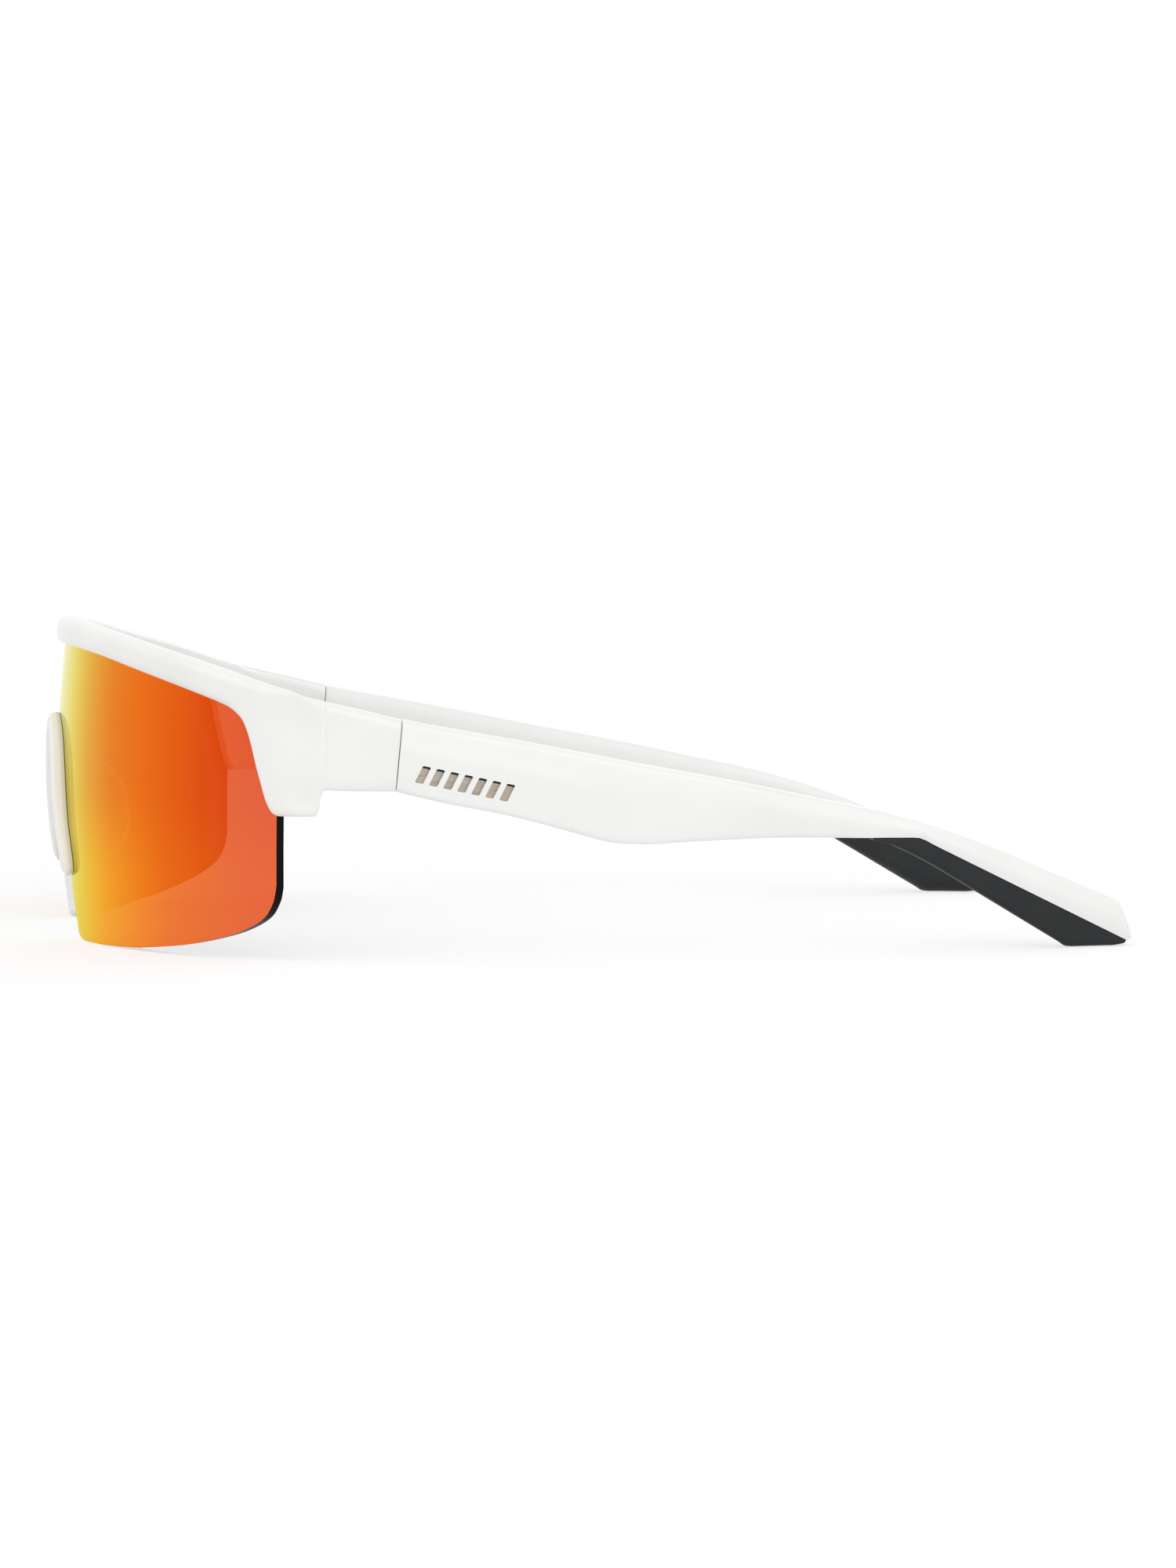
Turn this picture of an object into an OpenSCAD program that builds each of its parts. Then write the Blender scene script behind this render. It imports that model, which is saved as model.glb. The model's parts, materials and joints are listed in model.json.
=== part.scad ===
// Wraparound sport sunglasses: a one-piece shield lens under a half-rim brow, a clip-in nose
// piece, and two arms on metal barrel hinges with rubber grips along their tips.
// X is across the face (the wearer's left is +X), Y runs back from the lens, Z is up, and the
// glasses stand on Z = 0 on the lower edge of the lens and on the tips of the arms.

/* [Lens] */
// Radius of the lens's front face, seen from above
wrap_radius = 80; // [74:0.5:100]
// Radius of the lens's front face, seen from the side
face_radius = 320; // [250:10:600]
// Height at which the lens stands furthest forward
face_height = 13; // [5:1:20]
// Angle round the front from the middle to the side edge of the lens
lens_angle = 52.2; // [46:0.2:54]
// Thickness of the lens
lens_t = 2; // [1.6:0.1:2.4]

/* [Front] */
// Height of the top of the brow above the surface that the glasses stand on
brow_height = 50.8; // [46:0.2:62]
// How far the brow stands proud of the lens's front face
brow_proud = 1.5; // [1:0.1:2]
// Wall of the brow behind the lens
brow_wall = 1.5; // [1.2:0.1:2]
// Height of brow above the hidden edge of the lens
brow_cover = 1.9; // [1.4:0.1:2.4]
// Radius of the turn from the lens into the end piece
turn_radius = 9.8; // [8:0.2:12]
// Straight length of the end piece, from the turn to the hinge seam
end_length = 11.5; // [10:0.5:15]
// Depth of the frame at the hinge seam
seam_depth = 10.9; // [10:0.1:12.5]
// How far the lug hangs below the end piece
lug_drop = 3.7; // [2.5:0.1:4.5]
// Tilt of the hinge seam, its top toward the back
seam_tilt = 5.4; // [0:0.2:7]

/* [Nose piece] */
// How far the nose rim stands proud of the lens, half way down its legs
rim_proud = 2.2; // [1.8:0.1:2.8]
// How far the nose rim reaches over the lens
rim_reach = 1.6; // [1.2:0.1:2]
// Depth of a nose pad, front to back
pad_depth = 6.6; // [5:0.2:8]

/* [Arms] */
// Length of an arm from the hinge seam to its tip, front to back
arm_length = 116.9; // [104:0.5:142]
// Width across the outsides of the two tips
tip_width = 108; // [96:1:120]
// Thickness of an arm at the hinge
arm_t = 4; // [3.8:0.1:4.6]
// Thickness of an arm along its tip, grip included
tip_t = 3.6; // [3.2:0.1:4]
// Thickness of the grip on the inner side of the tip
grip_t = 1.6; // [1.2:0.1:1.8]

/* [Hinges] */
// Radius of the hinge barrel
barrel_r = 1.5; // [1.3:0.05:1.6]
// Radius of the hinge screw
pin_r = 0.6; // [0.5:0.05:0.7]
// Height of the whole barrel
barrel_h = 5.4; // [5:0.1:5.8]
// How far the middle of the barrel sits below the middle of the seam
barrel_drop = 1.4; // [0.8:0.1:1.6]
// Thickness of a hinge leaf
leaf_t = 0.9; // [0.8:0.05:1]
// Length of a hinge leaf from the pivot
leaf_l = 8; // [7.4:0.2:9]
// Depth of the recess that a leaf lies in
leaf_seat = 0.6; // [0.5:0.05:0.7]
// Radius of the shank of a leaf's screws
screw_r = 0.45; // [0.4:0.05:0.55]

/* [Fits] */
// Play between the lens and the groove or channel round its edge
lens_play = 0.12; // [0.08:0.01:0.2]
// Gap at the hinge seam
seam_gap = 0.3; // [0.25:0.05:0.5]
// Radial running fit of the hinge screw
pin_play = 0.05; // [0.03:0.01:0.08]
// Gap between neighbouring knuckles
knuckle_gap = 0.12; // [0.08:0.01:0.2]
// Play of a piece that is bonded or pressed into another
bond = 0.04; // [0.02:0.01:0.08]

/* [Hidden] */

white = [0.93, 0.93, 0.91];
black = [0.17, 0.18, 0.19];
amber = [0.92, 0.52, 0.16];
steel = [0.66, 0.66, 0.67];
taupe = [0.62, 0.58, 0.54];

// ---- Curves -------------------------------------------------------------------------------

function mix(a, b, w) = a + (b - a) * w;
function clamp(v, lo, hi) = max(lo, min(hi, v));
function bell(v, w) = exp(-(v / w) * (v / w));
function ease(w) = let (c = clamp(w, 0, 1)) c * c * (3 - 2 * c);

// Slope of one step of a list of [place, value], and the slope at a point: the harmonic mean
// of its two steps, so that the curve never overshoots a point
function step(P, i) = (P[i + 1][1] - P[i][1]) / (P[i + 1][0] - P[i][0]);
function slope(P, i) = i == 0 ? step(P, 0)
  : i == len(P) - 1 ? step(P, i - 1)
  : step(P, i) * step(P, i - 1) <= 0 ? 0
  : 2 / (1 / step(P, i) + 1 / step(P, i - 1));
function span(P, t, i = 0) = i >= len(P) - 2 || t < P[i + 1][0] ? i : span(P, t, i + 1);

// Smooth value at place t on a curve through [place, value] points
function curve(P, t) = let (
    i = span(P, t), h = P[i + 1][0] - P[i][0], u = clamp((t - P[i][0]) / h, 0, 1),
    a = slope(P, i) * h, b = slope(P, i + 1) * h, v = P[i][1], w = P[i + 1][1])
  v + a * u + (3 * (w - v) - 2 * a - b) * u * u + (2 * (v - w) + a + b) * u * u * u;

// Smooth path through points in a plane: n steps between each two of them
function bend(a, b, c, d, u) = 0.5 * (2 * b + (c - a) * u + (2 * a - 5 * b + 4 * c - d) * u * u
  + (3 * b - a - 3 * c + d) * u * u * u);
function path(P, n) = let (m = len(P) - 1) [
  for (i = [0 : m - 1], j = [0 : n - 1])
    bend(P[max(i - 1, 0)], P[i], P[i + 1], P[min(i + 2, m)], j / n), P[m]];

// Quarter turn of a rounded corner: from p toward q, bulging to the corner c
function corner(p, c, q, n) = [for (i = [0 : n]) let (u = 90 * i / n)
  c + (p - c) * (1 - sin(u)) + (q - c) * (1 - cos(u))];

// Closed skin over rings of points: each ring has as many points, and fans close the ends
module skin(rings) {
  n = len(rings);
  m = len(rings[0]);
  mid = [for (k = [0, n - 1]) [for (c = [0 : 2]) sum_of(rings[k], c) / m]];
  pts = concat([for (r = rings) each r], mid);
  faces = concat(
    [for (k = [0 : n - 2], i = [0 : m - 1]) let (j = (i + 1) % m)
      each [[k * m + i, k * m + j, (k + 1) * m + i], [k * m + j, (k + 1) * m + j, (k + 1) * m + i]]],
    [for (i = [0 : m - 1]) let (j = (i + 1) % m)
      each [[n * m, j, i], [n * m + 1, (n - 1) * m + i, (n - 1) * m + j]]]);
  polyhedron(pts, faces, convexity = 8);
}
function sum_of(P, c, i = 0) = i == len(P) ? 0 : P[i][c] + sum_of(P, c, i + 1);

// ---- Front: where things are ----------------------------------------------------------------
// A place round the front is the angle from the middle, and past the wrap it goes on by 1 a mm.

front_y = -2;                        // axis of the wrap
wrap = lens_angle + 0.5;             // where the wrap ends and the turn begins
turn_l = turn_radius * (90 - wrap) * PI / 180;
seam = wrap + turn_l + end_length;   // place of the hinge seam

// Radius of the lens's front face at a height
function face_r(z) = wrap_radius - face_radius + sqrt(face_radius ^ 2 - (z - face_height) ^ 2);

// Point at place a, offset o out from the lens's front face, at height z. The turn takes up the
// lens's lean, so the end piece is upright.
function at(a, o, z) = a < 0 ? let (p = at(-a, o, z)) [-p[0], p[1], p[2]] : let (
    b = min(a, wrap), t = min(max(a - wrap, 0), turn_l), e = max(a - wrap - turn_l, 0),
    g = b + t / turn_radius * 180 / PI, r = mix(face_r(z), face_r(seam_mid), ease(t / turn_l)),
    c = (r - turn_radius) * [sin(b), -cos(b)],
    p = c + (turn_radius + o) * [sin(g), -cos(g)])
  [p[0], front_y + p[1] + e, z];

seam_top = brow_height - 14.05;
seam_low = seam_top - seam_depth;
seam_mid = (seam_top + seam_low) / 2;
lug_low = seam_low - lug_drop;
seam_y = at(seam, 0, 0)[1];
inner_o = brow_proud - arm_t;        // inner face of the end piece
lean = tan(seam_tilt);               // how far the seam leans back for each mm up

// Drop of the brow's top line below its middle, and depth of the brow's front band
brow_drop = [[0, 0], [9, 0.35], [15, 0.85], [22, 1.75], [27.4, 2.7], [35.7, 4.5], [42.6, 6.35],
  [48.7, 8.35], [wrap, 9.6], [wrap + 2.8, 10.3], [wrap + 5.7, 11], [wrap + 9, 11.8], [seam, 14.05]];
brow_band = [[0, 3.7], [11, 3.5], [20, 3.45], [31, 3.75], [40, 4.2], [45, 4.6], [wrap, 5.4]];
function brow_top(a) = brow_height - curve(brow_drop, a);

// The front's lower edge: the band, then its fall to the lug, the lug, and the end piece
fall = [[-7.5, 0], [-5, 0.08], [-4, 0.17], [-3, 0.34], [-2.2, 0.55], [-1.5, 0.72], [-0.9, 0.88],
  [-0.1, 0.98], [0.5, 1]];
lug_back = wrap + turn_l - 0.5;      // back face of the lug
lug_end = [[lug_back - 0.8, 0], [lug_back - 0.35, 0.06], [lug_back, 0.3], [lug_back + 0.1, 0.6],
  [lug_back + 0.35, 0.86], [lug_back + 0.9, 1.07], [lug_back + 3, 1.04], [seam, 1]];
function front_low(a) = a < wrap
  ? mix(brow_top(a) - curve(brow_band, a), lug_low, curve(fall, a - lens_angle))
  : mix(lug_low, seam_low, curve(lug_end, max(a, lug_end[0][0])));

// Hidden upper edge of the lens: a fixed cover below the brow's top, rounded into its side
lens_x = wrap_radius * sin(lens_angle);
lens_corner = 8;
function lens_top(a) = let (x = wrap_radius * sin(a), d = max(x - (lens_x - lens_corner), 0))
  brow_top(a) - brow_cover - (lens_corner - sqrt(max(lens_corner ^ 2 - d * d, 0)));

// The lens's edge is cut square to the lens at these two ways, so its hidden edge at place a,
// offset o from the front face, is that of a slightly different place
split = 31;                          // where one cut gives over to the next
far_way = lens_angle - 2;            // way of the cut past the split
function lens_edge(a, o) = let (way = a < split ? 0 : far_way, r = face_r(lens_top(a)) + o)
  lens_top(way + asin(r * sin(a - way) / wrap_radius));
play_a = lens_play / wrap_radius * 180 / PI;
groove_end = lens_angle + play_a;

// ---- Front frame ------------------------------------------------------------------------------

// How the outer face of the end piece is modelled, at place a and share s of its height: a facet
// that opens toward the hinge, a crease where the straight end begins, and a thumb mark above the
// back of the lug
function sculpt(a, s) = let (t = a < wrap ? (a - wrap) * 1.4 : a - wrap)
  -0.7 * bell(t - 0.35 * turn_l, 4.2) * ease((s - 0.3) / 0.55)
  + 0.28 * ease((t - turn_l + 4.5) / 4.5) * (1 - ease((t - turn_l) / 0.9)) * ease(s * 3)
  - 0.3 * bell(t - turn_l + 2.4, 1.7) * bell(s - 0.14, 0.1);

// Half of the stations along the front, close together where the lower edge turns
front_stops = concat(
  [for (a = [1 : 3 : lens_angle - 9]) a],
  [for (a = [lens_angle - 7 : 0.7 : lens_angle - 0.2]) a],
  [groove_end, groove_end + 0.15, wrap],
  [for (k = [1 : 6]) wrap + k * (lug_back - 0.8 - wrap) / 6],
  [for (k = [-0.5, -0.2, 0, 0.1, 0.3, 0.6, 1]) lug_back + k],
  [for (k = [1 : 4]) mix(lug_back + 1, seam - 0.6, k / 4)]);

// Cross-section of the front at place a: a bar with a groove for the lens in its underside.
// Where the lens ends, the groove closes into a flat underside.
function front_ring(a, inset = 0) = let (
    b = abs(a), s = a < 0 ? -1 : 1,
    open = b < groove_end + 0.01,
    zt = brow_top(b) - inset, zl = front_low(b) + inset,
    zi = open ? max(zl, min(lens_top(b) - 2, zl + 0.3)) : zl,
    groove = [for (o = [0, -lens_t]) open
      ? max(lens_edge(max(b - 2 * play_a, 0), o) + lens_play, zl + 0.3) : zl],
    k = open ? 0 : 0.4,
    out = brow_proud - inset,
    lip = mix(0.45, brow_proud - 0.9, ease((b - lens_angle + 8) / 7)),
    back = mix(-lens_t - brow_wall, inner_o, ease((b - wrap) / turn_l)) + inset,
    g = -lens_t - lens_play,
    gi = open ? g : back + 0.6,
    ob = min(1.7, (zt - zl) * 0.42),
    w = ease((b - wrap - turn_l) / (end_length - 1)),
    sec = concat(
      [[lens_play, zl], [lens_play - k, groove[0]], [gi + k, groove[1]], [gi, zi]],
      corner([back + 0.5, zi], [back, zi], [back, zi + 0.5], 2),
      corner([back, zt - 1.3], [back, zt - 0.35], [back + 1, zt - 0.35], 3),
      corner([out - 1.5, zt], [out, zt], [out, zt - 1.5], 4),
      [for (k = [1 : 4]) [out, mix(zt - 1.5, zl + ob, k / 5)]],
      corner([out, zl + ob], [out, zl], [lip, zl], 4)),
    pts = [for (p = sec) let (
        d = p[0] > 0.3 ? sculpt(b, (p[1] - zl) / (zt - zl)) * min((p[0] - 0.3) / 1.2, 1) : 0,
        q = at(b, p[0] + d, p[1]))
      [s * q[0], q[1] + w * lean * (p[1] - seam_mid), p[1]]])
  pts;

module front_frame() {
  h = front_stops;
  n = len(h);
  rings = concat(
    [front_ring(seam, 0.25), front_ring(seam - 0.3)],
    [for (i = [n - 1 : -1 : 0]) front_ring(h[i])],
    [for (a = h) front_ring(-a)],
    [front_ring(-seam + 0.3), front_ring(-seam, 0.25)]);
  color(white) difference() {
    skin(rings);
    for (s = [0, 1]) mirror([s, 0, 0]) leaf_recess(-1);
  }
}

// ---- Shield lens -----------------------------------------------------------------------------

// Nose edge of the lens, from the top of its arch down to the lower corner: [x, z]
nose_edge = [[0, 33.6], [4.4, 32.8], [7.9, 30.2], [10.1, 26.6], [11.8, 22.4], [14, 17.2],
  [16.2, 13.2], [17.4, 10.2], [17.7, 8.2], [18.5, 5.8], [19.9, 2.9]];
// Free lower edge, from the nose to the side edge: [angle round the front, z]
lower_near = [[14.7, 1.2], [15.8, 0.25], [17.8, 0], [23, 0], [31, 0.4]];
lower_far = [[31, 0.4], [39, 1.6], [45, 3.3], [48.3, 4.8], [50.6, 6.6], [51.7, 8.8],
  [lens_angle - 0.15, 10.4], [lens_angle + 0.1, 12.4], [lens_angle + 0.6, 15], [lens_angle + 3, 16]];

function flat(P, way) = [for (p = P) [wrap_radius * sin(p[0] - way), p[1]]];
function flip(P) = [for (i = [len(P) - 2 : -1 : 1]) [-P[i][0], P[i][1]]];
low_z = -5;
high_z = brow_height + 9;

// Cutter for the middle: the nose edge, the lower edge near it and the top, open past the split
mid_half = concat(
  path(nose_edge, 4),
  flat(path(lower_near, 3), 0),
  flat([[split, low_z], [80, low_z], [80, high_z], [split, high_z]], 0),
  flat([for (k = [0 : 9]) let (a = split * (1 - k / 9)) [a, lens_top(a)]], 0));

// Cutter for one side: the lower corner and the round upper corner, open short of the split
side_cut = concat(
  [[-2 * wrap_radius, low_z]],
  flat([[split, low_z]], far_way),
  flat(path(lower_far, 4), far_way),
  flat([for (k = [0 : 14]) let (
      x = k == 0 ? lens_x : lens_x - lens_corner * (1 - cos(90 * k / 14)), a = asin(x / wrap_radius))
    [k == 0 ? lens_angle + 3 : a, lens_top(a)]], far_way),
  flat([for (k = [1 : 6]) let (a = mix(asin((lens_x - lens_corner) / wrap_radius), split, k / 6))
    [a, lens_top(a)]], far_way),
  flat([[split, high_z]], far_way),
  [[-2 * wrap_radius, high_z]]);

module cutter(way) {
  translate([0, front_y, 0]) rotate([90, 0, way])
    linear_extrude(2 * wrap_radius + 10, center = true) children();
}

module shield_lens() {
  color(amber) intersection() {
    translate([0, front_y, 0]) rotate([0, 0, -90 - lens_angle])
      rotate_extrude(angle = 2 * lens_angle, $fn = 240) intersection() {
        translate([wrap_radius - face_radius, face_height]) difference() {
          circle(face_radius, $fn = 250);
          circle(face_radius - lens_t, $fn = 250);
        }
        translate([wrap_radius - 20, -2]) square([30, brow_height + 4]);
      }
    cutter(0) polygon(concat(mid_half, flip(mid_half)));
    cutter(far_way) polygon(side_cut);
    mirror([1, 0, 0]) cutter(far_way) polygon(side_cut);
  }
}

// ---- Nose piece ------------------------------------------------------------------------------

nose_n = 29;                         // steps from the top of the arch to the foot of a leg
nose_run = [for (i = [0 : nose_n - 1]) path(nose_edge, 4)[i]];

// Frame on the lens's front face at step k of the nose edge: point, way into the lens, way out
function nose_frame(k) = let (
    i = abs(k), s = k < 0 ? -1 : 1,
    p = nose_run[i], q = nose_run[min(i + 1, nose_n - 1)], o = i == 0 ? [-q[0], q[1]] : nose_run[i - 1],
    t = (q - o) / norm(q - o),
    r = face_r(p[1]), x = p[0], y = -sqrt(r * r - x * x), h = p[1] - face_height,
    out0 = [x / r, y / r, h / sqrt(face_radius ^ 2 - h * h)], out = out0 / norm(out0),
    u0 = [-t[1], 0, t[0]], u1 = u0 - (u0 * out) * out, u = u1 / norm(u1))
  [[s * x, front_y + y, p[1]], [s * u[0], u[1], u[2]], [s * out[0], out[1], out[2]]];
function nose_at(k, n, h) = let (f = nose_frame(k)) f[0] + n * f[1] + h * f[2];

// How proud the rim stands from the top of its arch to the foot of a leg
rim_share = [[0, 0.72], [0.3, 0.95], [0.5, 0.97], [0.7, 0.86], [0.85, 0.74], [0.94, 0.56], [1, 0.36]];

// Cross-section of the nose piece: a channel that holds the edge of the lens, with a tall rim
function bridge_ring(k) = let (
    e = clamp((nose_n - 1 - abs(k)) / 3, 0, 1), r = sqrt(1 - (1 - e) ^ 2),
    top = rim_proud * curve(rim_share, abs(k) / (nose_n - 1)) * mix(0.6, 1, r),
    m = rim_reach * mix(0.55, 1, r), c = lens_play, d = -lens_t - lens_play,
    w = -1.4)
  [for (p = [[m, c], [m, 0.7], [m - 0.15, top - 0.6], [m - 0.7, top - 0.1], [m - 1.5, top],
      [w + 0.35, top - 0.3], [w, top - 0.9], [w, d - 0.7], [w + 0.4, d - 1.05],
      [m - 0.4, d - 1.05], [m, d - 0.7], [m, d], [-c, d], [-c, c]]) nose_at(k, p[0], p[1])];

module nose_bridge() {
  color(white) skin([for (k = [nose_n - 1 : -1 : 1 - nose_n]) bridge_ring(k)]);
}

// Pad on one leg of the nose piece: it starts flat on the back of the channel and flares out
pad_from = 12;
pad_to = nose_n - 3;
function pad_ring(k) = let (
    w = (k - pad_from) / (pad_to - pad_from), f = mix(0.35, 1, sqrt(max(0, 1 - (2 * w - 1) ^ 2))),
    b = -lens_t - lens_play - 1.05 - bond, g = pad_depth * f)
  [for (p = [[-1.15, b], [-1.15, b - 0.2 * g], [-0.5, b - 0.45 * g], [0.9, b - 0.75 * g], [2.6, b - 0.96 * g],
      [3.3, b - g], [3.7, b - 0.94 * g], [3.5, b - 0.84 * g], [2.4, b - 0.55 * g], [1.5, b - 0.25 * g], [1.1, b]])
    let (n = p[0] < 1.1 ? p[0] : mix(1.1, p[0], f)) nose_at(k, n, p[1])];

module nose_pad() {
  color(white) skin([for (k = [pad_to : -1 : pad_from]) pad_ring(k)]);
}

// ---- Arms ------------------------------------------------------------------------------------
// A place along an arm is the share of its length from the seam, and heights go with the seam's.

arm_x = at(seam, brow_proud, 0)[0];
arm_k = seam_top / 36.75;
arm_top = [[0, 36.75], [0.175, 33], [0.312, 29.8], [0.4, 27.85], [0.486, 25.85], [0.556, 24.05],
  [0.647, 21.8], [0.734, 18.85], [0.821, 15.05], [0.909, 10.7], [0.952, 8.6], [0.972, 7.6], [0.98, 7],
  [0.987, 5.8], [1, 2]];
arm_low = [[0, 25.85], [0.056, 24.1], [0.139, 22.1], [0.222, 19.5], [0.264, 18.1], [0.29, 17.5], [0.33, 17.3],
  [0.39, 17.6], [0.5, 17.95], [0.6, 17.75], [0.694, 17.6], [0.722, 16.2], [1, 0.3]];
grip_low = [[0.634, 17.3], [0.657, 16.7], [0.68, 15.5], [0.712, 13.6], [0.776, 9.2], [0.895, 0.85],
  [0.906, 0.1], [0.916, 0], [0.968, 0], [0.985, 0.25], [1, 1]];
grip_from = 0.634;
grip_to = 0.989;

function arm_y(t) = seam_y + seam_gap + t * (arm_length - seam_gap);
function arm_out(t) = arm_x - (arm_x - tip_width / 2) * t ^ 1.5;
function arm_thick(t) = mix(arm_t, tip_t, ease(t / 0.5));
function arm_hi(t) = arm_k * curve(arm_top, t);
function arm_lo(t) = t > 0.722 ? arm_k * mix(16.2, 0.3, (t - 0.722) / 0.278) : arm_k * curve(arm_low, t);
function grip_lo(t) = min(arm_k * curve(grip_low, t), arm_lo(t) - 0.3);

// Point on an arm: u in from its outer face at height z
function arm_at(t, u, z) = [arm_out(t) - u, arm_y(t) + lean * (z - seam_mid) * (1 - ease(t / 0.06)), z];

// White left above the grip on the inner side, where the arm is h high
function lip(t, h) = min(mix(3.3, 0.9, ease((t - grip_from - 0.04) / 0.2)), h * 0.76);
function arm_ring(t, inset = 0) = let (
    grip = t > grip_from - 0.0001 && t < grip_to + 0.0001,
    T = arm_thick(t) - inset, L = grip ? grip_t : 0,
    zt = arm_hi(t) - inset, zl = arm_lo(t) + inset, i = inset,
    h = zt - zl, rt = min(1.2, h * 0.3), rl = min(mix(0.9, 0.15, ease((t - grip_from + 0.05) / 0.05)), h * 0.2),
    zs = zt - lip(t, h),
    ridge = 0.1 * (1 - ease((t - 0.2) / 0.15)))
  [for (p = concat(
      corner([i + rl, zl], [i, zl], [i, zl + rl], 2),
      [for (s = [0.2, 0.4, 0.62, 0.8]) [i - 0.25 * sin(180 * s) - ridge * bell(s - 0.62, 0.1),
        mix(zl + rl, zt - rt, s)]],
      corner([i, zt - rt], [i, zt], [i + rt, zt], 3),
      corner([T - 0.7, zt], [T, zt], [T, mix(zt, zs, 0.7)], 2),
      [[T, zs], [T - L, zs - 0.12]],
      corner([T - L, zl + rl], [T - L, zl], [T - L - rl, zl], 2)))
    arm_at(t, p[0], p[1])];

grip_stops = concat([for (k = [0 : 11]) mix(grip_from + 0.002, 0.894, k / 11)],
  [0.906, 0.917, 0.94, 0.964, 0.972, 0.98, grip_to - 0.003]);
arm_stops = concat([0.003], [for (k = [1 : 5]) k * 0.02], [for (k = [4 : 20]) k * 0.031],
  [grip_from - 0.001, grip_from], grip_stops, [grip_to, grip_to + 0.001, 0.996]);

module temple() {
  color(white) difference() {
    skin(concat([arm_ring(0, 0.25)], [for (t = arm_stops) arm_ring(t)], [arm_ring(1, 0.2)]));
    leaf_recess(1);
    inlay_slots();
    inlay_plate(bond / 2);
  }
}

// Grip: a soft strip under the tip with a leaf that covers its inner side
function grip_ring(t, inset = 0) = let (
    T = arm_thick(t) + 0.25 - inset, u = arm_thick(t) - grip_t + bond,
    zm = arm_lo(t) - bond, zl = grip_lo(t) + inset, zt = arm_hi(t), h = zt - arm_lo(t),
    zs = zt - lip(t, h) - 0.12 - bond - inset, o = 0.1 + inset,
    r = min(0.9, (zm - zl) * 0.4), q = min(1.3 + 1.6 * bell(t - 0.9, 0.06), (zs - zl) * 0.36))
  [for (p = concat([[u, zm], [o, zm]],
      corner([o, zl + r], [o, zl], [o + r, zl], 2),
      corner([T - min(q, T - 1.4), zl], [T, zl], [T, zl + q], 4),
      corner([T, zs - 0.5], [T, zs], [T - 0.5, zs], 2),
      [[u, zs]])) arm_at(t, p[0], p[1])];

module temple_grip() {
  n = len(grip_stops);
  color(black) skin(concat([grip_ring(grip_to - 0.0005, 0.15)],
    [for (k = [n - 1 : -1 : 0]) grip_ring(grip_stops[k])],
    [grip_ring(grip_from + 0.0005, 0.15)]));
}

// Inlay: a thin metal plate moulded into the arm behind a row of slanting slots
slot_n = 7;
slot_w = 1.3;
slot_h = 2.7;
slot_slant = 0.7;                    // how far a slot leans over its height
slot_pitch = 2.2;
inlay_from = 0.03;                   // place of the first slot
inlay_wall = 0.45;                   // arm left in front of the plate
inlay_t = 0.6;
inlay_rise = 3.5;                    // middle of the row above the arm's lower edge
row_l = (slot_n - 1) * slot_pitch;
row_end = inlay_from + row_l / arm_length;

// Frame of the row: X out of the arm's outer face, Y along the row
module at_row() {
  a = [arm_out(inlay_from), arm_y(inlay_from), arm_lo(inlay_from) + inlay_rise];
  d = [arm_out(row_end), arm_y(row_end), arm_lo(row_end) + inlay_rise] - a;
  translate(a) rotate([atan2(d[2], d[1]), 0, -atan2(d[0], d[1])]) children();
}

module inlay_slots() {
  at_row() for (k = [0 : slot_n - 1]) translate([-inlay_wall - 0.1, k * slot_pitch, 0])
    rotate([90, 0, 90]) linear_extrude(3) polygon([for (p = [[-1, -1], [1, -1], [1, 1], [-1, 1]])
      [p[0] * slot_w / 2 + p[1] * slot_slant / 2, p[1] * slot_h / 2]]);
}

module inlay_plate(grow = 0) {
  at_row() hull() for (y = [-1.1, row_l + 1.1], z = [-1, 1])
    translate([-inlay_wall - inlay_t - grow, y, z * (slot_h / 2 - 0.1)])
      rotate([0, 90, 0]) cylinder(inlay_t + 2 * grow, r = 0.6 + grow, $fn = 24);
}

module temple_inlay() {
  color(taupe) inlay_plate();
}

// ---- Hinges ----------------------------------------------------------------------------------
// The barrel stands in the seam, just inside the arm, and leans with the seam.

hinge_x = arm_x - arm_t - (barrel_r - 0.3);
plate_x = arm_x - arm_t + leaf_seat; // floor of the recesses
hinge_z = seam_mid - barrel_drop;
hinge_y = seam_y + seam_gap / 2 - barrel_drop * lean;
knuckle_h = (barrel_h - 2 * knuckle_gap) / 3;
leaf_h = barrel_h - 0.4;
screw_at = [3.9, 6.3];               // places of a leaf's screws from the pivot

module at_hinge() {
  translate([hinge_x, hinge_y, hinge_z]) rotate([-seam_tilt, 0, 0]) children();
}

// Recess for a leaf and the barrel, with the bores for the leaf's screws. way = -1 is the front.
module leaf_recess(way) {
  at_hinge() {
    l = leaf_l + 0.15 + 2;
    translate([-3, way > 0 ? -2 : 2 - l, -barrel_h / 2 - 0.3])
      cube([plate_x - hinge_x + 3, l, barrel_h + 0.6]);
    for (s = screw_at) translate([plate_x - hinge_x - 0.5, way * s, 0])
      rotate([0, 90, 0]) cylinder(0.5 + screw_depth + 0.2, r = screw_r + 0.02, $fn = 32);
  }
}

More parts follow.
